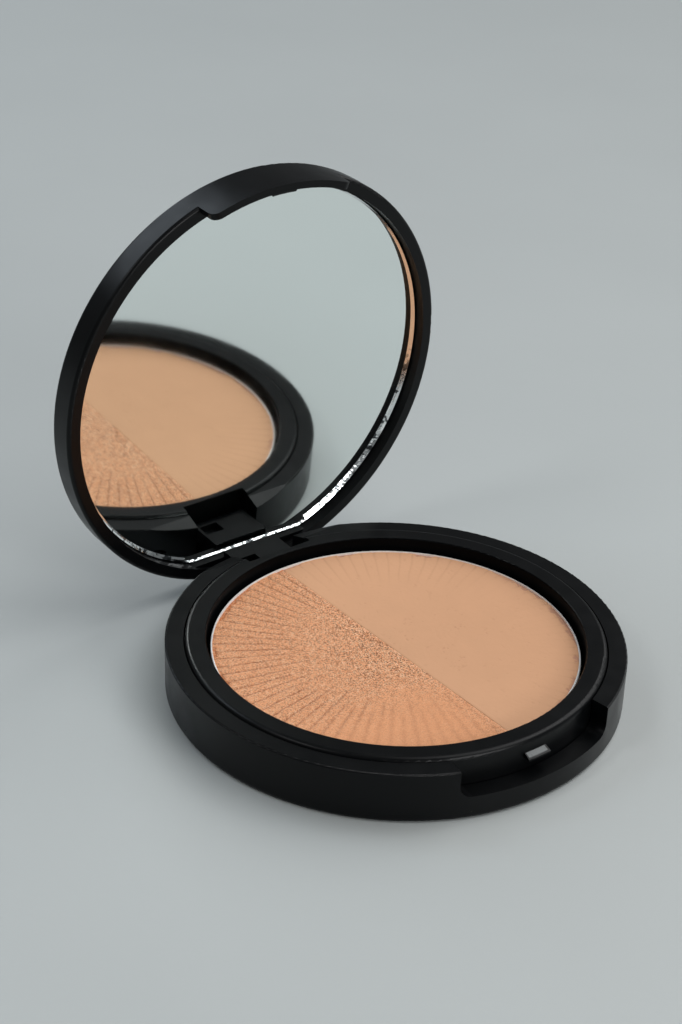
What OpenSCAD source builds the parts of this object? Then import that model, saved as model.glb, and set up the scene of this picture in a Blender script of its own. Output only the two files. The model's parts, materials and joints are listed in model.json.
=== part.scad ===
// Round powder compact with a mirror lid, standing open.
// Millimetres, +Z up. The origin is the centre of the base's underside; the thumb notch faces -Y and
// the hinge is at +Y. The lid is drawn closed and then turned open about the hinge pin.

/* [Case] */
// Outer radius of the base and of the lid
case_r = 36.7; // [36.6:0.1:37.5]
// Height of the base's outer rim
base_h = 8.7; // [8.6:0.1:9.2]
// Height of the closed case
closed_h = 13.6; // [13.5:0.1:14.2]
// Gap between the base and the closed lid
parting_gap = 0.1; // [0.05:0.05:0.15]
// Thickness of the base's floor
floor_t = 1.2; // [1:0.1:1.3]
// Radius of the rounded edge under the base
bottom_round = 0.9; // [0.5:0.1:1.2]
// Radius of the rounded edge on top of the lid
lid_round = 0.7; // [0.4:0.1:1]
// Small rounding on the base's rim
rim_round = 0.25; // [0.1:0.05:0.3]
// Rounding on the outer edge of the lid's rim
lid_rim_round = 0.6; // [0.2:0.1:0.8]

/* [Pan insert] */
// Outer radius of the insert ring
bezel_r = 33.6; // [33.4:0.1:33.7]
// Inner radius of the well that holds the pan
well_r = 30.2; // [30:0.1:30.5]
// How far the insert ring stands above the base's rim
bezel_rise = 0.5; // [0.3:0.1:0.6]
// Radial gap between the insert ring and the base
seam_gap = 0.15; // [0.1:0.05:0.2]
// Rounding on the outer top edge of the insert ring
bezel_round = 0.8; // [0.2:0.1:0.9]
// Rounding on the inner top edge of the insert ring
well_round = 0.2; // [0.1:0.05:0.3]

/* [Pan and powder] */
// Outer radius of the pan, a standard 59 mm pan
pan_r = 29.5; // [29:0.1:29.7]
// Height of the pan
pan_h = 3.5; // [3:0.1:3.6]
// Wall thickness of the pan
pan_wall = 0.3; // [0.3:0.05:0.5]
// Height of the pan's rim above the table
pan_top = 7.1; // [6.8:0.1:7.3]
// How far the powder's surface lies below the pan's rim
powder_drop = 0.2; // [0.1:0.05:0.4]
// Place of the line between the two powders
powder_split_x = -0.9; // [-2:0.1:2]

/* [Thumb notch and catch] */
// Half angle of the notch in the base
notch_half_angle = 23.1; // [22.9:0.1:24]
// Angle between the notch's end walls and the front-to-back direction
notch_lean = 8; // [0:1:20]
// Turn of the notch and the catch about the centre
notch_turn = -1; // [-1:0.1:1]
// Height of the lip under the notch
notch_floor = 4; // [3.6:0.1:4.2]
// Radius of the notch's lower corners
notch_corner = 2; // [1.6:0.1:2.2]
// Half angle of the lid's front tab
tab_half_angle = 21.3; // [20.5:0.1:21.5]
// Height of the tab's lower edge when closed
tab_low = 5; // [4.9:0.1:5.2]
// Radius of the tab's lower corners
tab_corner = 1.5; // [1:0.1:1.8]
// Thickness of the tab
tab_t = 1.2; // [1:0.1:1.3]
// Half angle of the catch ridge and of the tab's bead
catch_half_angle = 3.5; // [3:0.1:5]

/* [Hinge] */
// Distance of the hinge pin behind the centre
hinge_y = 34.15; // [34.1:0.05:34.2]
// Height of the hinge pin
hinge_z = 3.6; // [3.5:0.05:3.7]
// How far the lid stands open
open_angle = 86.8; // [0:0.1:86.8]
// Diameter of the hinge pin
pin_d = 1.2; // [1:0.1:1.2]
// Running clearance round the pin in the lid's lug
pin_play = 0.05; // [0.02:0.01:0.08]
// Width of the lid's hinge lug
lug_w = 10.6; // [10:0.1:11]
// Width of the pocket in the base for the lug
pocket_w = 12.6; // [12.2:0.1:13]
// Slope of the relief behind the hinge line
relief_slope = 18; // [16:1:20]

/* [Mirror] */
// Radius of the mirror
mirror_r = 34.3; // [34.1:0.1:34.4]
// Thickness of the mirror
mirror_t = 1; // [0.9:0.1:1]
// Depth of the mirror's face behind the lid's rim
mirror_depth = 2; // [1.8:0.1:2.5]
// Distance of the mirror's flat edge from the centre
mirror_flat_y = 32.3; // [32.1:0.1:32.4]
// Width of the small bevel round the mirror's face
mirror_bevel = 0.2; // [0.1:0.1:0.5]

/* [Hidden] */
$fn = 96;
black = [0.06, 0.065, 0.07];
cut = 1;                                    // how far cutting shapes run past a face
far = 2 * case_r;                           // larger than anything in the case
lid_z = base_h + parting_gap;               // the lid's rim when closed
bezel_top = base_h + bezel_rise;
shell_in_r = bezel_r + seam_gap;
rim_in_r = case_r - 2.2;                    // inside of the lid's rim
mirror_z = lid_z + mirror_depth;            // the mirror's face when closed
mirror_back_z = mirror_z + mirror_t;
glue_t = 0.2;                               // mirror adhesive
lid_plate_z = mirror_back_z + glue_t;       // inside of the lid's top plate
pan_low = pan_top - pan_h;
pad_t = 0.4;                                // pan adhesive
web_t = 1;                                  // floor of the insert's well
web_top = pan_low - pad_t;
label_r = 24;
label_t = 0.2;
pivot_r = case_r - hinge_y;                 // reach of the lug round the pin
lug_front_y = hinge_y - pivot_r;
pocket_front_y = lug_front_y - 0.3;
pocket_floor = 0.8;
relief_y = 33.5;                            // line where the relief starts to slope
ledge_z = bezel_top + 0.3;                  // lid ledge beside the lug, clear of the insert ring
ledge_y = mirror_flat_y + 0.15;
pin_half = 10.2;
catch_r = bezel_r + 1.2;                    // tip of the catch ridge
catch_low = 6.1;
catch_high = 6.95;
bead_r = 0.45;                              // bead inside the tab

// Half section of a disc whose outer edges are rounded below and above
module disc_section(r, low, high, low_round, high_round) {
  translate([0, low + low_round]) square([r, high - low - low_round - high_round]);
  translate([0, low]) square([r - low_round, low_round * 2]);
  translate([0, high - high_round * 2]) square([r - high_round, high_round * 2]);
  translate([r - low_round, low + low_round]) circle(low_round);
  translate([r - high_round, high - high_round]) circle(high_round);
}

// All that lies inside the +X end wall of a front block and its round lower corner
module inside_end(half_angle, lean, low, corner) {
  rotate([0, 0, half_angle])
    translate([0, -case_r, 0])
      rotate([90, 0, lean - half_angle])
        linear_extrude(height = case_r, center = true) {
          translate([-far, low + corner]) square([far, far]);
          translate([-far, low]) square([far - corner, 2 * corner]);
          translate([-corner, low + corner]) circle(corner);
        }
}

// A block across the front wall with round lower corners: the notch's space and the tab's body
module front_block(half_angle, lean, inner_r, outer_r, low, high, corner) {
  intersection() {
    difference() {
      translate([0, 0, low]) cylinder(r = outer_r, h = high - low);
      translate([0, 0, low - cut]) cylinder(r = inner_r, h = far);
    }
    inside_end(half_angle, lean, low, corner);
    mirror([1, 0, 0]) inside_end(half_angle, lean, low, corner);
  }
}

// Turns a lid part from the closed to the open position
module opened() {
  translate([0, hinge_y, hinge_z])
    rotate([-open_angle, 0, 0])
      translate([0, -hinge_y, -hinge_z]) children();
}

// Space for the lid's lug at the back, down to the given height
module hinge_pocket(low) {
  translate([-pocket_w / 2, pocket_front_y, low]) cube([pocket_w, far, far]);
}

// The thumb notch, as the block that it takes out of the base's wall
module notch_space() {
  in_r = shell_in_r - cut;
  front_block(notch_half_angle, notch_lean, in_r, case_r + cut, notch_floor, base_h + cut, notch_corner);
}

module base_shell() {
  color(black) difference() {
    rotate_extrude() disc_section(case_r, 0, base_h, bottom_round, rim_round);
    translate([0, 0, floor_t]) cylinder(r = shell_in_r, h = base_h);
    translate([0, 0, -cut]) cylinder(r = label_r, h = label_t + cut);
    rotate([0, 0, notch_turn]) notch_space();
    hinge_pocket(pocket_floor);
    translate([0, relief_y, base_h])
      rotate([-relief_slope, 0, 0])
        translate([-far, 0, 0]) cube([2 * far, far, far]);
    translate([pin_half - far, hinge_y, hinge_z]) rotate([0, 90, 0]) cylinder(d = pin_d, h = far);
  }
}

module pan_bezel() {
  color(black) {
    difference() {
      rotate_extrude() difference() {
        disc_section(bezel_r, floor_t, bezel_top, rim_round, bezel_round);
        translate([-cut, web_top]) square([well_r + cut, far]);
        translate([-cut, 0]) square([well_r + cut, web_top - web_t]);
        translate([well_r, bezel_top - well_round]) difference() {
          square([well_round, well_round + cut]);
          translate([well_round, 0]) circle(well_round);
        }
      }
      hinge_pocket(0);
    }
    catch_ridge();
  }
}

// Ridge on the insert that the lid's bead snaps under; its top slopes down to the tip
module catch_ridge() {
  root_r = bezel_r - 0.3;
  tip_z = catch_low + 0.3;
  rotate([0, 0, -90 - catch_half_angle + notch_turn])
    rotate_extrude(angle = 2 * catch_half_angle)
      polygon([
        [root_r, catch_low], [catch_r, catch_low], [catch_r, tip_z],
        [bezel_r, catch_high], [root_r, catch_high]
      ]);
}

module powder_pan() {
  foot_round = 0.8;
  lip_round = 0.15;
  color("silver") difference() {
    rotate_extrude() disc_section(pan_r, pan_low, pan_top, foot_round, lip_round);
    translate([0, 0, pan_low + pan_wall]) cylinder(r = pan_r - pan_wall, h = pan_h);
  }
}

module pan_adhesive() {
  pad_r = 9;
  color("ivory") translate([0, 0, web_top]) cylinder(r = pad_r, h = pad_t);
}

// One of the two powder halves; side is -1 for -X and 1 for +X
module powder_half(side) {
  low = pan_low + pan_wall;
  x = side > 0 ? powder_split_x : powder_split_x - far;
  intersection() {
    translate([0, 0, low]) cylinder(r = pan_r - pan_wall, h = pan_top - powder_drop - low);
    translate([x, -far / 2, 0]) cube([far, far, far]);
  }
}

module matte_powder() {
  color([0.80, 0.60, 0.45]) powder_half(1);
}

module shimmer_powder() {
  color([0.83, 0.55, 0.42]) powder_half(-1);
}

module base_label() {
  color("white") cylinder(r = label_r, h = label_t);
}

module hinge_pin() {
  color("gray")
    translate([-pin_half, hinge_y, hinge_z])
      rotate([0, 90, 0]) cylinder(d = pin_d, h = 2 * pin_half);
}

// Lug that reaches down from the lid into the base's pocket, with a hollow in its face
module hinge_lug() {
  top = ledge_z + 0.5;
  hollow_w = 3.5;
  hollow_h = 2.6;
  hollow_t = 1.3;
  hollow_x = 0.6 - lug_w / 2;
  hollow_low = hinge_z + 0.4;
  difference() {
    intersection() {
      union() {
        translate([-lug_w / 2, lug_front_y, hinge_z]) cube([lug_w, 2 * pivot_r, top - hinge_z]);
        translate([-lug_w / 2, hinge_y, hinge_z]) rotate([0, 90, 0]) cylinder(r = pivot_r, h = lug_w);
      }
      cylinder(r = case_r, h = far);
      lug_outline();
    }
    translate([hollow_x, lug_front_y - cut, hollow_low]) cube([hollow_w, cut + hollow_t, hollow_h]);
  }
}

// The lug's outline as seen from the front, with round lower corners, as a block right through
module lug_outline() {
  low = hinge_z - pivot_r;
  corner = 1.5;
  translate([0, far, 0]) rotate([90, 0, 0]) linear_extrude(height = far) {
    translate([-lug_w / 2, low + corner]) square([lug_w, far]);
    translate([corner - lug_w / 2, low]) square([lug_w - 2 * corner, 2 * corner]);
    for (side = [-1, 1]) translate([side * (lug_w / 2 - corner), low + corner]) circle(corner);
  }
}

// Round bead along the inside of the tab, cut off flush with the tab's lower edge
module tab_bead() {
  rotate([0, 0, -90 - catch_half_angle])
    rotate_extrude(angle = 2 * catch_half_angle)
      translate([case_r - tab_t, tab_low + bead_r]) circle(bead_r);
}

module lid_shell() {
  color(black) opened() difference() {
    union() {
      difference() {
        union() {
          rotate_extrude() disc_section(case_r, lid_z, closed_h, lid_rim_round, lid_round);
          front_block(
            tab_half_angle, tab_half_angle, case_r - tab_t, case_r, tab_low, lid_z + cut, tab_corner
          );
        }
        translate([0, 0, lid_z - cut]) cylinder(r = rim_in_r, h = ledge_z - lid_z + cut);
        intersection() {
          translate([0, 0, lid_z]) cylinder(r = rim_in_r, h = lid_plate_z - lid_z);
          translate([-far, ledge_y - 2 * far, 0]) cube([2 * far, 2 * far, far]);
        }
      }
      hinge_lug();
      tab_bead();
    }
    translate([-far / 2, hinge_y, hinge_z]) rotate([0, 90, 0]) cylinder(r = pin_d / 2 + pin_play, h = far);
  }
}

// Section of the mirror's glass from one point out to its ground edge
module glass_section(from, edge) {
  polygon([
    [from, mirror_z], [edge - mirror_bevel, mirror_z], [edge, mirror_z + mirror_bevel],
    [edge, mirror_back_z], [from, mirror_back_z]
  ]);
}

module lid_mirror() {
  color("lightsteelblue") opened() intersection() {
    rotate_extrude() glass_section(0, mirror_r);
    translate([-far, 0, 0])
      rotate([90, 0, 90])
        linear_extrude(height = 2 * far) glass_section(-far, mirror_flat_y);
  }
}

module mirror_adhesive() {
  margin = 2;
  color("white") opened() intersection() {
    translate([0, 0, mirror_back_z]) cylinder(r = mirror_r - margin, h = glue_t);
    translate([-far, mirror_flat_y - margin - 2 * far, 0]) cube([2 * far, 2 * far, far]);
  }
}

base_shell();
pan_bezel();
powder_pan();
pan_adhesive();
matte_powder();
shimmer_powder();
base_label();
hinge_pin();
lid_shell();
lid_mirror();
mirror_adhesive();
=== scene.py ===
import json
import math

import bpy
import numpy as np
from mathutils import Matrix, Vector


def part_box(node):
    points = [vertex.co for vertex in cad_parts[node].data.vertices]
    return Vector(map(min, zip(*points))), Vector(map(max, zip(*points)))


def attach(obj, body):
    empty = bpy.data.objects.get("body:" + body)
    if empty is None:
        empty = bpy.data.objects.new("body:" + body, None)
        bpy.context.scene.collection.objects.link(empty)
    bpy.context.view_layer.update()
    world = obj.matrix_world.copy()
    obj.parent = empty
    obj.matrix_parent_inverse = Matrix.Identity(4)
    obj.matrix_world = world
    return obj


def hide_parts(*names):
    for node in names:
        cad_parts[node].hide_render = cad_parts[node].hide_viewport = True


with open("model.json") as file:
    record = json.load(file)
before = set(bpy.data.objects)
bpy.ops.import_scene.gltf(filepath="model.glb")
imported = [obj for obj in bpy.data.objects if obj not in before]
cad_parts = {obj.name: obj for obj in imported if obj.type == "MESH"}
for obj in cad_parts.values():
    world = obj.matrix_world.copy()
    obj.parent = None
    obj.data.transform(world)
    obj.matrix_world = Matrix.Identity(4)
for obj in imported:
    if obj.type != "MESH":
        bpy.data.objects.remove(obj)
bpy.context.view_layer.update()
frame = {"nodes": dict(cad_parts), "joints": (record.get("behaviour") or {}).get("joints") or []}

MM = 0.001

# Where the parts are, read from the frame
HINGE = frame["joints"][0]
HINGE_AT = Vector(HINGE["pos_m"])
OPEN_ANGLE = math.radians(max(HINGE["range_deg"]))
POWDER_LOW, POWDER_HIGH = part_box("matte_powder")
BEZEL_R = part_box("pan_bezel")[1].x
WELL_GAP = 0.7 * MM
WELL_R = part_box("powder_pan")[1].x + WELL_GAP
CATCH_X = -0.65 * MM
CATCH_HALF_WIDTH = 1.8 * MM
CATCH_RAMP_Z = 6.54 * MM
POWDER_R = POWDER_HIGH.x
POWDER_Z = POWDER_HIGH.z
SPLIT_X = POWDER_LOW.x

# The pressed pattern
RAYS = 80
RAY_START = 15.5 * MM
RAY_WIDTH = 0.17 * MM
POWDER_RINGS = 236

# The mirror's ground edge, and how it differs along the flat side next to the hinge
OUTLINE_STEP = 0.3 * MM
SILVER_DEPTH = 0.4 * MM
EDGE_BAND = 1.0 * MM
EDGE_SLOPE = 0.55
EDGE_CHIPS = 0.02 * MM
FLAT_BAND = 0.3 * MM
FLAT_SLOPE = 1.2
FLAT_CHIPS = 0.08 * MM

# How strongly the black plastic reflects: its satin faces, and the matt wall of the well
SATIN = 0.17
MATT = 0.02


def smooth(value, low, high):
    """0 below low, 1 above high and a smooth rise between."""
    t = np.clip((value - low) / (high - low), 0, 1)
    return t * t * (3 - 2 * t)


def lumps(x, y, size, seed):
    """Smooth noise from -1 to 1 with lumps of about the given size."""
    table = np.random.default_rng(seed).uniform(-1, 1, (256, 256))
    u, v = x / size, y / size
    i, j = np.floor(u).astype(int), np.floor(v).astype(int)
    su, sv = smooth(u - i, 0, 1), smooth(v - j, 0, 1)
    near = table[i % 256, j % 256] * (1 - su) + table[(i + 1) % 256, j % 256] * su
    far = table[i % 256, (j + 1) % 256] * (1 - su) + table[(i + 1) % 256, (j + 1) % 256] * su
    return near * (1 - sv) + far * sv


def new_object(name, vertices, faces):
    mesh = bpy.data.meshes.new(name)
    mesh.from_pydata(vertices, [], faces)
    mesh.update()
    made = bpy.data.objects.new(name, mesh)
    bpy.context.scene.collection.objects.link(made)
    return made


# ---------------------------------------------------------------- node trees


class Tree:
    """The node tree of one new material, with short calls that add and join nodes."""

    def __init__(self, name):
        self.material = bpy.data.materials.new(name)
        self.material.use_nodes = True
        self.tree = self.material.node_tree
        self.shader = self.tree.nodes["Principled BSDF"]
        self.where = self.add("TexCoord").outputs["Object"]

    def add(self, kind, **settings):
        node = self.tree.nodes.new("ShaderNode" + kind)
        for key, value in settings.items():
            setattr(node, key, value)
        return node

    def put(self, source, target):
        """Joins a socket to an input, or sets the input to a plain value."""
        if isinstance(source, bpy.types.NodeSocket):
            self.tree.links.new(source, target)
        else:
            target.default_value = source

    def set(self, **values):
        """Sets the shader's own sockets, such as Base_Color=... or Roughness=..."""
        for key, value in values.items():
            self.put(value, self.shader.inputs[key.replace("_", " ")])

    def math(self, operation, a, b=0.0, clamp=False):
        node = self.add("Math", operation=operation, use_clamp=clamp)
        self.put(a, node.inputs[0])
        self.put(b, node.inputs[1])
        return node.outputs[0]

    def noise(self, size, detail=2.0, stretch=None):
        """Noise from 0 to 1 with lumps of the given size in metres."""
        node = self.add("TexNoise")
        node.inputs["Scale"].default_value = 1 / size
        node.inputs["Detail"].default_value = detail
        where = self.where
        if stretch:
            mapping = self.add("Mapping")
            mapping.inputs["Scale"].default_value = stretch
            self.put(self.where, mapping.inputs["Vector"])
            where = mapping.outputs[0]
        self.put(where, node.inputs["Vector"])
        return node.outputs["Fac"]

    def cells(self, size):
        """Voronoi cells of the given size: the node, with Distance and Color outputs."""
        node = self.add("TexVoronoi")
        node.inputs["Scale"].default_value = 1 / size
        self.put(self.where, node.inputs["Vector"])
        return node

    def attribute(self, name):
        return self.add("Attribute", attribute_name=name).outputs["Fac"]

    def remap(self, value, low, high, to_low=0.0, to_high=1.0):
        node = self.add("MapRange", interpolation_type="SMOOTHSTEP")
        self.put(value, node.inputs["Value"])
        for key, number in zip(("From Min", "From Max", "To Min", "To Max"), (low, high, to_low, to_high)):
            node.inputs[key].default_value = number
        return node.outputs[0]

    def mix(self, factor, a, b):
        """Colour a where factor is 0 and b where it is 1."""
        node = self.add("Mix", data_type="RGBA")
        self.put(factor, node.inputs["Factor"])
        self.put(colour(a) if isinstance(a, tuple) else a, node.inputs[6])
        self.put(colour(b) if isinstance(b, tuple) else b, node.inputs[7])
        return node.outputs[2]

    def bump(self, height, depth, under=None):
        """Bump of the given depth in metres, on top of another bump if there is one."""
        node = self.add("Bump")
        node.inputs["Distance"].default_value = depth
        self.put(height, node.inputs["Height"])
        if under is not None:
            self.put(under, node.inputs["Normal"])
        return node.outputs[0]


def colour(rgb):
    return (*rgb, 1.0)


# ---------------------------------------------------------------- materials


def plastic(name):
    """Moulded black plastic with a fine satin texture and a little dust."""
    t = Tree(name)
    tone = t.mix(t.noise(6 * MM, 3), (0.0014, 0.0017, 0.0020), (0.0022, 0.0026, 0.0031))
    dust = t.cells(1.1 * MM)
    speck = t.remap(dust.outputs["Distance"], 0.10, 0.05)
    chosen = t.add("SeparateColor")
    t.put(dust.outputs["Color"], chosen.inputs[0])
    speck = t.math("MULTIPLY", speck, t.remap(chosen.outputs[0], 0.95, 0.97), clamp=True)
    t.tone = t.mix(t.math("MULTIPLY", speck, 0.12), tone, (0.25, 0.22, 0.19))
    t.set(Base_Color=t.tone)
    t.set(Roughness=t.remap(t.noise(4 * MM, 5), 0.2, 0.8, 0.27, 0.38))
    t.set(Specular_IOR_Level=SATIN)
    grain = t.bump(t.noise(0.16 * MM, 2), 0.004 * MM)
    t.set(Normal=t.bump(t.noise(2.5 * MM, 1), 0.004 * MM, grain))
    return t


def bezel_plastic():
    """The same plastic, matt inside the well, with a painted light grey highlight on the ridge under the
    lid's tab.
    """
    t = plastic("bezel_plastic")
    place = t.add("SeparateXYZ")
    t.put(t.where, place.inputs[0])
    x, y, z = place.outputs
    square = t.math("ADD", t.math("MULTIPLY", x, x), t.math("MULTIPLY", y, y))
    radius = t.math("SQRT", square)
    t.set(Specular_IOR_Level=t.remap(radius, WELL_R + 0.03 * MM, WELL_R + 0.25 * MM, MATT, SATIN))
    # Painted highlight: the ridge under the lid's tab is coloured light grey in streaks, standing in for
    # the light it catches there.
    ridge = t.remap(radius, BEZEL_R + 0.03 * MM, BEZEL_R + 0.10 * MM)
    ramp = t.remap(z, CATCH_RAMP_Z - 0.06 * MM, CATCH_RAMP_Z + 0.06 * MM)
    aside = t.math("ABSOLUTE", t.math("SUBTRACT", x, CATCH_X))
    beside = t.remap(aside, CATCH_HALF_WIDTH + 0.1 * MM, CATCH_HALF_WIDTH - 0.1 * MM)
    middle = t.math("MULTIPLY", ramp, beside)
    highlight_streaks = t.remap(t.noise(0.5 * MM, 3), 0.15, 0.45, 0.55, 1)
    painted_catch_highlight = t.math("MULTIPLY", t.math("MULTIPLY", ridge, middle), highlight_streaks, clamp=True)
    t.set(Base_Color=t.mix(painted_catch_highlight, t.tone, (0.17, 0.18, 0.18)))
    return t


def pan_metal():
    """Drawn aluminium, painted almost white as a stand-in for the bright highlight along its rim, dusted
    with powder in places.
    """
    t = Tree("pan_metal")
    scuff = t.noise(0.9 * MM, 4)
    t.set(Metallic=0.25)
    # Painted highlight: the near-white base colour stands in for the light the rim catches; the tan
    # patches are powder dust.
    t.set(Base_Color=t.mix(t.remap(scuff, 0.55, 0.85), (0.98, 0.98, 0.97), (0.90, 0.80, 0.70)))
    t.set(Roughness=t.remap(scuff, 0.2, 0.8, 0.30, 0.50))
    t.set(Normal=t.bump(t.noise(0.10 * MM, 2), 0.004 * MM))
    return t.material


def pressed_powder(name, tone, groove_shade, chip_tone, roughness, grain_depth):
    """The shared part of both powders: tone, painted shade in the grooves and pits, and the crumbled edge.
    """
    t = Tree(name)
    darker, lighter = tuple(0.965 * c for c in tone), tuple(1.035 * c for c in tone)
    patchy = t.mix(t.noise(5 * MM, 3), darker, lighter)
    # Painted shade: the grooves, and the pits of the matte powder, are coloured darker where shade falls
    # in them.
    groove_shaded = t.mix(t.math("MULTIPLY", t.attribute("groove"), 0.75, clamp=True), patchy, groove_shade)
    chipped = t.mix(t.attribute("chip"), groove_shaded, chip_tone)
    t.set(Roughness=roughness)
    t.set(Specular_IOR_Level=0.25)
    t.surface = chipped
    t.relief = t.bump(t.noise(0.10 * MM, 3), grain_depth)
    return t


def matte_tan():
    tone, groove_shade, chip_tone = (0.71, 0.394, 0.230), (0.54, 0.28, 0.155), (0.58, 0.31, 0.205)
    t = pressed_powder("matte_tan", tone, groove_shade, chip_tone, 0.92, 0.008 * MM)
    t.set(Base_Color=t.surface)
    t.set(Normal=t.relief)
    return t.material


def shimmer_coral():
    """Coral powder full of tiny flakes, coloured with painted glints on some and painted shade on others.
    """
    tone, groove_shade, chip_tone = (0.805, 0.372, 0.186), (0.33, 0.105, 0.04), (0.60, 0.20, 0.07)
    t = pressed_powder("shimmer_coral", tone, groove_shade, chip_tone, 0.62, 0.02 * MM)
    flakes = t.cells(0.15 * MM)
    parts = t.add("SeparateColor")
    t.put(flakes.outputs["Color"], parts.inputs[0])
    strength = t.attribute("sparkle")
    # Painted glints and painted shade: some flakes are coloured light and others dark, where light and
    # shadow would fall on them.
    bright = t.math("MULTIPLY", t.remap(parts.outputs[0], 0.70, 0.86, 0, 0.9), strength, clamp=True)
    painted_flake_shade = t.math("MULTIPLY", t.remap(parts.outputs[1], 0.56, 0.78), strength, clamp=True)
    tone = t.mix(painted_flake_shade, t.surface, (0.21, 0.062, 0.021))
    tone = t.mix(bright, tone, (1.0, 0.68, 0.45))
    t.set(Base_Color=tone)
    t.set(Metallic=t.math("MULTIPLY", bright, 0.2))
    t.set(Normal=t.bump(parts.outputs[2], 0.015 * MM, t.relief))
    return t.material


def mirror_silver():
    t = Tree("mirror_silver")
    t.set(Metallic=1.0)
    t.set(Base_Color=t.mix(t.noise(30 * MM, 2), (0.900, 0.960, 0.945), (0.915, 0.972, 0.957)))
    t.set(Roughness=t.remap(t.noise(8 * MM, 5), 0.35, 0.8, 0.045, 0.060))
    return t.material


def ground_glass():
    """The mirror's ground edge, silvered behind: bright facets, with patches of painted shade on its lower
    part.
    """
    t = Tree("ground_glass")
    facet = t.noise(0.35 * MM, 2)
    t.set(Metallic=1.0)
    bright = t.mix(facet, (0.72, 0.77, 0.78), (0.95, 0.98, 0.98))
    place = t.add("SeparateXYZ")
    t.put(t.where, place.inputs[0])
    low = t.remap(place.outputs[2], 38 * MM, 30 * MM)
    # Painted shade: dark patches on the lower part of the edge stand in for the dim things it reflects
    # there.
    painted_dark_patches = t.math("MULTIPLY", t.remap(t.noise(1.3 * MM, 3), 0.55, 0.61), low)
    t.set(Base_Color=t.mix(painted_dark_patches, bright, (0.10, 0.11, 0.115)))
    t.set(Roughness=t.remap(facet, 0.3, 0.7, 0.06, 0.16))
    t.set(Normal=t.bump(t.noise(0.2 * MM, 2), 0.003 * MM))
    return t.material


def label_paper():
    """A blank label: coated paper with faint fibres."""
    t = Tree("label_paper")
    fibre = t.noise(0.5 * MM, 4, stretch=(1, 3, 1))
    t.set(Base_Color=t.mix(fibre, (0.70, 0.70, 0.69), (0.80, 0.80, 0.79)))
    t.set(Roughness=0.55)
    t.set(Normal=t.bump(fibre, 0.004 * MM))
    return t.material


def pin_steel():
    t = Tree("pin_steel")
    drawn = t.noise(0.3 * MM, 3, stretch=(0.08, 1, 1))
    t.set(Metallic=1.0)
    t.set(Base_Color=t.mix(drawn, (0.50, 0.50, 0.51), (0.66, 0.66, 0.67)))
    t.set(Roughness=t.remap(drawn, 0.3, 0.7, 0.22, 0.38))
    return t.material


def glue():
    t = Tree("glue_foam")
    cells = t.noise(0.4 * MM, 3)
    t.set(Base_Color=t.mix(cells, (0.72, 0.70, 0.64), (0.82, 0.80, 0.75)))
    t.set(Roughness=0.8)
    t.set(Normal=t.bump(cells, 0.02 * MM))
    return t.material


# ---------------------------------------------------------------- powder


def half_disc(side, rings):
    """Even triangles over the disc on one side of the split line: points, faces and the boundary loop."""
    points, faces = [], []
    start = [3 * i * (i - 1) // 2 + i for i in range(rings + 1)]
    for i in range(rings + 1):
        for j in range(3 * i + 1):
            angle = math.pi * (j / (3 * i) - 0.5) if i else 0
            dx, dy = side * math.cos(angle), side * math.sin(angle)
            along = SPLIT_X * dx
            reach = -along + math.sqrt(along * along + POWDER_R**2 - SPLIT_X**2)
            points.append((SPLIT_X + dx * reach * i / rings, dy * reach * i / rings))
    for i in range(1, rings + 1):
        for sector in range(3):
            outer, inner = start[i] + sector * i, start[i - 1] + sector * (i - 1)
            for j in range(i):
                faces.append((outer + j, outer + j + 1, inner + j))
                if j < i - 1:
                    faces.append((inner + j, outer + j + 1, inner + j + 1))
    loop = list(range(start[rings], start[rings] + 3 * rings + 1))
    loop += [start[i] + 3 * i for i in range(rings - 1, 0, -1)]
    loop += [start[i] for i in range(rings)]
    return np.array(points), faces, loop


def ray_grooves(x, y, seed, broad=0.0):
    """From 0 to 1, how deep a point lies in one of the fine radial grooves; broad widens them."""
    radius = np.hypot(x, y)
    turn = np.arctan2(y, x) * RAYS / math.tau + 0.06 * lumps(x, y, 4 * MM, seed)
    nearest = np.round(turn)
    aside = np.abs(turn - nearest) * math.tau * radius / RAYS
    first = RAY_START + 1.8 * MM * np.sin(nearest * 2.4)
    width = RAY_WIDTH * (1 + broad + 0.25 * lumps(x, y, 1.5 * MM, seed + 1))
    return np.exp(-((aside / width) ** 2)) * smooth(radius, first, first + 4 * MM)


def crumbled_edge(x, y, seed, share):
    """From 0 to 1, how far the powder has crumbled beside the pan's wall."""
    inward = POWDER_R - np.hypot(x, y)
    ragged = 0.45 + 0.35 * lumps(x, y, 1.1 * MM, seed) + 0.25 * lumps(x, y, 0.5 * MM, seed + 1)
    missing = smooth(lumps(x, y, 2.1 * MM, seed + 2), share, share + 0.35)
    bitten = missing * smooth(1.1 * MM * ragged - inward, -0.25 * MM, 0.15 * MM)
    return np.clip(bitten, 0, 1)


def powder_piece(name, node, side, relief):
    """One pressed half: a closed solid whose top follows the relief function."""
    points, faces, loop = half_disc(side, POWDER_RINGS)
    x, y = points.T
    height, marks = relief(x, y)
    top = np.column_stack([points, POWDER_Z + height])
    low = np.column_stack([points[loop], np.full(len(loop), POWDER_LOW.z)])
    count, ring = len(top), len(loop)
    for k in range(ring):
        after = (k + 1) % ring
        faces.append((loop[after], loop[k], count + k, count + after))
    faces.append(tuple(count + k for k in reversed(range(ring))))
    piece = new_object(name, np.vstack([top, low]).tolist(), faces)
    smooth_faces = np.arange(len(faces)) < len(faces) - ring - 1
    piece.data.polygons.foreach_set("use_smooth", smooth_faces)
    for mark, values in marks.items():
        stored = piece.data.attributes.new(mark, "FLOAT", "POINT")
        stored.data.foreach_set("value", np.concatenate([values, np.zeros(ring)]).astype(np.float32))
    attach(piece, "base")
    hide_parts(node)
    return piece


def split_dip(x):
    """The small crease where the two powders meet."""
    return -0.04 * MM * np.exp(-(((x - SPLIT_X) / (0.25 * MM)) ** 2))


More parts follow.
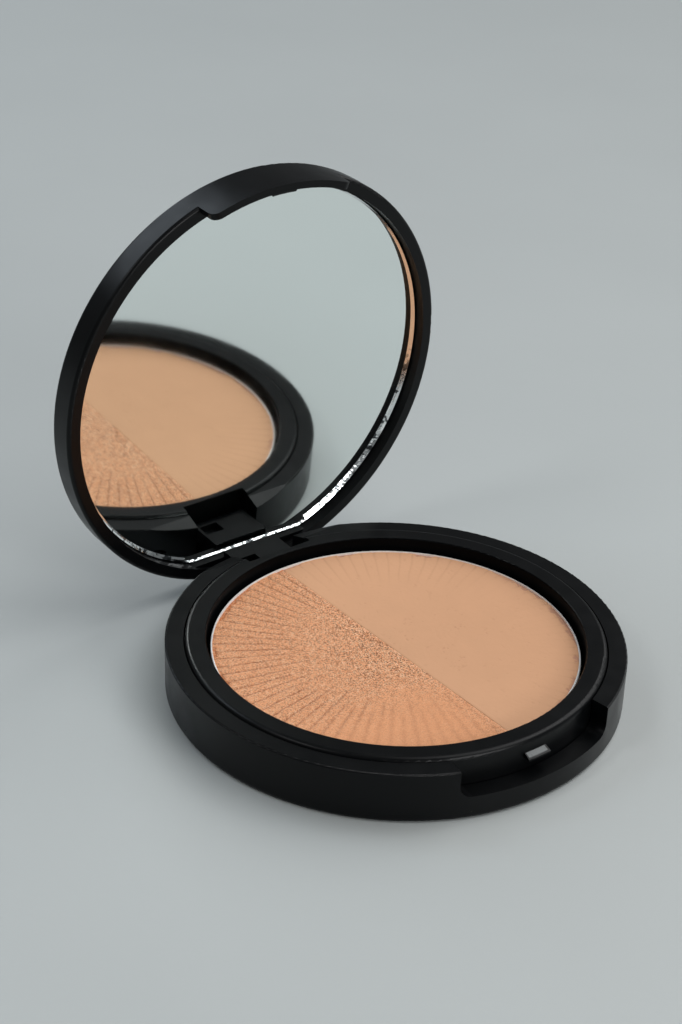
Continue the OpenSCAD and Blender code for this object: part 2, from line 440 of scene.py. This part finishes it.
def matte_relief(x, y):
    radius = np.hypot(x, y)
    turn = np.degrees(np.arctan2(y, x))
    back_right = smooth(turn, 10, 35) * (1 - smooth(turn, 75, 95))
    rim_ticks = smooth(radius, 26.8 * MM, 28.6 * MM)
    groove = ray_grooves(x, y, 11) * np.clip(0.05 + 0.26 * back_right + 0.3 * rim_ticks, 0, 1)
    groove *= smooth(radius, 17 * MM, 25 * MM)
    patch = np.exp(-(((x - 6 * MM) / (7 * MM)) ** 2) - ((y + 3 * MM) / (6 * MM)) ** 2)
    rough = lumps(x, y, 0.42 * MM, 12) + 0.35 * lumps(x, y, 1.8 * MM, 13)
    pits = smooth(rough, 0.78, 1.05) * (0.25 + 0.75 * patch)
    chip = crumbled_edge(x, y, 14, 0.05)
    height = -0.05 * MM * groove - 0.10 * MM * pits - 0.16 * MM * chip
    height += 0.006 * MM * (1 + 2 * patch) * lumps(x, y, 0.4 * MM, 15)
    height += 0.02 * MM * lumps(x, y, 6 * MM, 16) + split_dip(x)
    # The groove mark, pits included, sets where the powder is coloured darker as painted shade.
    return height, {"groove": np.clip(groove + 0.6 * pits, 0, 1), "chip": chip}


def shimmer_relief(x, y):
    radius = np.hypot(x, y)
    front = smooth(-y, 5 * MM, 18 * MM)
    groove = ray_grooves(x, y, 21, 1.2 * front) * (1 - 0.78 * front)
    groove *= np.clip(0.95 + 0.45 * lumps(x, y, 0.8 * MM, 22), 0, 1)
    beside_split = np.exp(-((x - SPLIT_X) / (3 * MM)) ** 2)
    middle = np.exp(-((radius / (14 * MM)) ** 2))
    sparkle = np.clip(0.52 + 0.48 * middle + 0.20 * beside_split, 0, 1)
    sparkle *= 1 - 0.75 * smooth(-y, 4 * MM, 18 * MM) * (1 - 0.4 * beside_split)
    grain = lumps(x, y, 0.25 * MM, 23)
    chip = crumbled_edge(x, y, 25, -0.35)
    height = -0.09 * MM * groove + 0.008 * MM * grain * sparkle - 0.18 * MM * chip
    height += 0.02 * MM * lumps(x, y, 5 * MM, 26) + split_dip(x)
    return height, {"groove": np.clip(groove, 0, 1), "chip": chip, "sparkle": sparkle}


# ---------------------------------------------------------------- mirror


def opened(point):
    """Turns a point of the closed lid to where it is while the lid stands open."""
    turn = Matrix.Rotation(-OPEN_ANGLE, 3, "X")
    return HINGE_AT + turn @ (Vector(point) - HINGE_AT)


def closed(point):
    turn = Matrix.Rotation(OPEN_ANGLE, 3, "X")
    return HINGE_AT + turn @ (Vector(point) - HINGE_AT)


def mirror_outline(radius, flat_y):
    """Points round the mirror, evenly spaced: the arc first, then the flat edge."""
    half = math.asin(flat_y / radius)
    sweep = math.pi + 2 * half
    steps = round(sweep * radius / OUTLINE_STEP)
    turns = [math.pi - half + k * sweep / steps for k in range(steps + 1)]
    outline = [Vector((radius * math.cos(a), radius * math.sin(a))) for a in turns]
    chord = outline[0] - outline[-1]
    steps = round(chord.length / OUTLINE_STEP)
    return outline + [outline[-1] + chord * k / steps for k in range(1, steps)]


def mirror_piece():
    """The mirror: a silvered face at the back of the glass, and the ground edge that rises round it."""
    corners = np.array([closed(v.co) for v in frame["nodes"]["lid_mirror"].data.vertices])
    radius = np.hypot(corners[:, 0], corners[:, 1]).max()
    flat_y, face_z, back_z = corners[:, 1].max(), corners[:, 2].min(), corners[:, 2].max()
    silver_z = face_z + SILVER_DEPTH
    outline = mirror_outline(radius, flat_y)
    rng = np.random.default_rng(31)
    along = np.arange(len(outline)) * OUTLINE_STEP
    swell = lumps(along, np.zeros(len(outline)), 4 * MM, 32)
    loops = [[] for _ in range(6)]
    for p, wave in zip(outline, swell):
        x, y = p / radius
        band = EDGE_BAND * (0.85 + 0.55 * y) * (0.65 + 0.20 * x)
        chips = EDGE_CHIPS * smooth(y, 0.4, 0.8)
        slope, inward, slide = EDGE_SLOPE, -p.normalized(), 0
        if p.y > flat_y - 0.5 * MM:
            band, slope, chips, inward = FLAT_BAND, FLAT_SLOPE, FLAT_CHIPS, Vector((0, -1))
            slide = FLAT_CHIPS * rng.uniform(-1, 1)
        rise = slope * band
        high_z = max(face_z + 0.04 * MM, silver_z - rise)
        low_z = high_z + rise
        bend = 0.05 * MM * wave * smooth(y, 0.2, 0.5) + chips * rng.uniform(-1, 1)
        rows = (
            (band, silver_z),
            (band - 0.03 * MM, low_z),
            (band / 2, (low_z + high_z) / 2 + bend),
            (0.05 * MM, high_z),
            (0, max(face_z + 0.2 * MM, high_z)),
            (0, back_z),
        )
        for loop, (inset, z) in zip(loops, rows):
            q = p + inward * inset
            loop.append(opened((q.x + (slide if 0.1 * MM < inset < 0.2 * MM else 0), q.y, z)))
    ring = len(outline)
    faces = [tuple(range(ring))]
    for row in range(len(loops) - 1):
        for k in range(ring):
            after = (k + 1) % ring
            a, b = row * ring + k, row * ring + after
            faces += [(a, a + ring, b), (b, a + ring, b + ring)]
    faces.append(tuple(reversed(range((len(loops) - 1) * ring, len(loops) * ring))))
    piece = new_object("mirror_glass", [v for loop in loops for v in loop], faces)
    piece.data.materials.append(mirror_silver())
    piece.data.materials.append(ground_glass())
    for k, polygon in enumerate(piece.data.polygons):
        polygon.material_index = 0 if k == 0 else 1
    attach(piece, "lid")
    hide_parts("lid_mirror")
    return piece


# ---------------------------------------------------------------- stage


def floor():
    t = Tree("grey_card")
    t.set(Base_Color=t.mix(t.noise(60 * MM, 4), (0.470, 0.497, 0.493), (0.505, 0.533, 0.528)))
    t.set(Roughness=0.45)
    t.set(Normal=t.bump(t.noise(1.2 * MM, 3), 0.02 * MM))
    size = 4
    corners = [(-size, -size, 0), (size, -size, 0), (size, size, 0), (-size, size, 0)]
    plane = new_object("floor", corners, [(0, 1, 2, 3)])
    plane.data.materials.append(t.material)


def panel(name, direction, distance, size, radiance, tint=(1, 1, 1)):
    """A light panel, width by height, that faces the object from an azimuth and elevation in degrees."""
    azimuth, elevation = (math.radians(a) for a in direction)
    lamp = bpy.data.lights.new(name, "AREA")
    lamp.shape = "RECTANGLE"
    lamp.size, lamp.size_y = size
    lamp.energy = radiance * math.pi * lamp.size * lamp.size_y
    lamp.color = tint
    made = bpy.data.objects.new(name, lamp)
    bpy.context.scene.collection.objects.link(made)
    flat = math.cos(elevation)
    towards = Vector((flat * math.cos(azimuth), flat * math.sin(azimuth), math.sin(elevation)))
    made.location = towards * distance
    made.rotation_mode = "QUATERNION"
    made.rotation_quaternion = (-made.location).to_track_quat("-Z", "Y")


def studio_light():
    """A softbox high in front, panels in front, behind, left and right, and a dim even room."""
    panel("softbox", (-35, 63), 0.9, (0.7, 0.7), 2.2)
    panel("front_panel", (-85, 22), 0.7, (0.26, 0.20), 9.5)
    panel("back_panel", (102, 41), 0.9, (0.7, 0.26), 3.6, (0.80, 0.90, 1.0))
    panel("left_panel", (170, 50), 0.9, (0.22, 0.22), 5.0)
    panel("right_panel", (2, 38), 2.0, (1.6, 1.6), 1.8)
    world = bpy.data.worlds.new("room")
    world.use_nodes = True
    sky = world.node_tree.nodes["Background"]
    sky.inputs["Color"].default_value = (0.47, 0.49, 0.50, 1)
    sky.inputs["Strength"].default_value = 0.29
    bpy.context.scene.world = world


def camera():
    azimuth, elevation, roll = (math.radians(a) for a in (-38.646, 29.288, 2.081))
    distance, lens = 319.19 * MM, 69.93
    target = Vector((0, 15.155, 24.263)) * MM
    flat = math.cos(elevation)
    back = Vector((math.sin(azimuth) * flat, -math.cos(azimuth) * flat, math.sin(elevation)))
    right = Vector((math.cos(azimuth), math.sin(azimuth), 0))
    up = back.cross(right)
    x = right * math.cos(roll) + up * math.sin(roll)
    y = up * math.cos(roll) - right * math.sin(roll)
    data = bpy.data.cameras.new("camera")
    data.lens, data.sensor_width = lens, 36
    data.clip_start, data.clip_end = 0.01, 20
    made = bpy.data.objects.new("camera", data)
    made.matrix_world = Matrix((x, y, back)).transposed().to_4x4()
    made.location = target + back * distance
    bpy.context.scene.collection.objects.link(made)
    bpy.context.scene.camera = made


# ---------------------------------------------------------------- build


def finish_nodes():
    """Gives each carried CAD node its finished material."""
    case = plastic("black_plastic").material
    foam = glue()
    finishes = {
        "base_shell": case,
        "lid_shell": case,
        "pan_bezel": bezel_plastic().material,
        "powder_pan": pan_metal(),
        "pan_adhesive": foam,
        "mirror_adhesive": foam,
        "base_label": label_paper(),
        "hinge_pin": pin_steel(),
    }
    for node, material in finishes.items():
        slots = frame["nodes"][node].data.materials
        for k in range(len(slots)):
            slots[k] = material


camera()
floor()
studio_light()
finish_nodes()
matte = powder_piece("matte_powder_pressed", "matte_powder", 1, matte_relief)
matte.data.materials.append(matte_tan())
shimmer = powder_piece("shimmer_powder_pressed", "shimmer_powder", -1, shimmer_relief)
shimmer.data.materials.append(shimmer_coral())
mirror_piece()
bpy.context.scene.view_settings.view_transform = "Standard"
